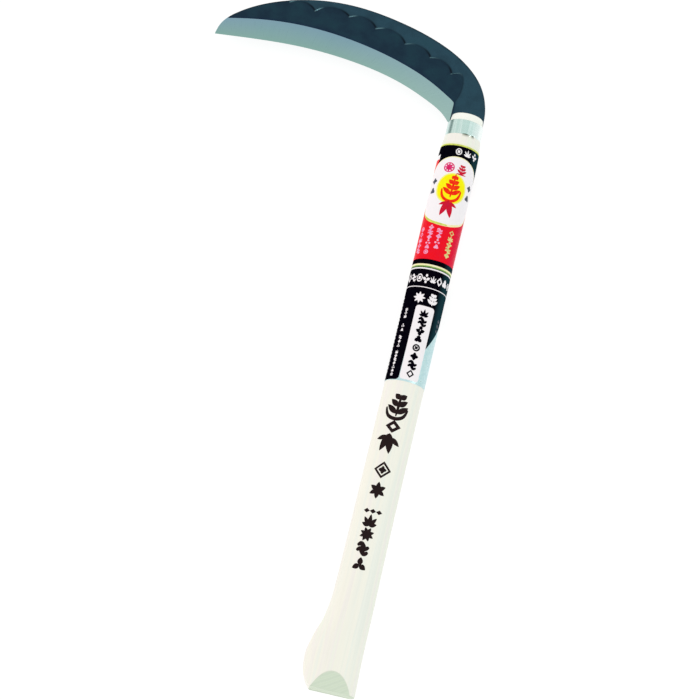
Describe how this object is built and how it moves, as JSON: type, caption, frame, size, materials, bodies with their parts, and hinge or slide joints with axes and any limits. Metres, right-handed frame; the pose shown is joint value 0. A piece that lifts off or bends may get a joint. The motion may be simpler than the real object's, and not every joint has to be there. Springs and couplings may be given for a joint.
{
  "type": "hand sickle",
  "caption": "Thin curved grass sickle with a double-bevelled forged blade, steel ferrule and long oval wooden handle with a flared butt and printed wrap labels.",
  "frame": {"origin": "where the handle's centre line meets the flat of the butt", "axes": "+Y along the handle from butt to head, -X toward the blade's tip, +Z out of the labelled face; the blade's middle plane is XY"},
  "size_m": [0.2077, 0.49, 0.0232],
  "materials": {
    "forged_steel": "blue-black forge scale with ground silver bevels along the edge",
    "handle_wood": "bare pale wood, planed and sanded, with a burnt-in mark",
    "ferrule_steel": "zinc-plated sheet steel, satin",
    "pin_steel": "plain wire nail",
    "label_film": "glossy printed film"
  },
  "bodies": {
    "root": {"blade": "forged_steel", "handle": "handle_wood", "ferrule": "ferrule_steel", "tang_pin_upper": "pin_steel", "tang_pin_lower": "pin_steel", "label_upper": "label_film", "label_lower": "label_film"}
  },
  "joints": []
}
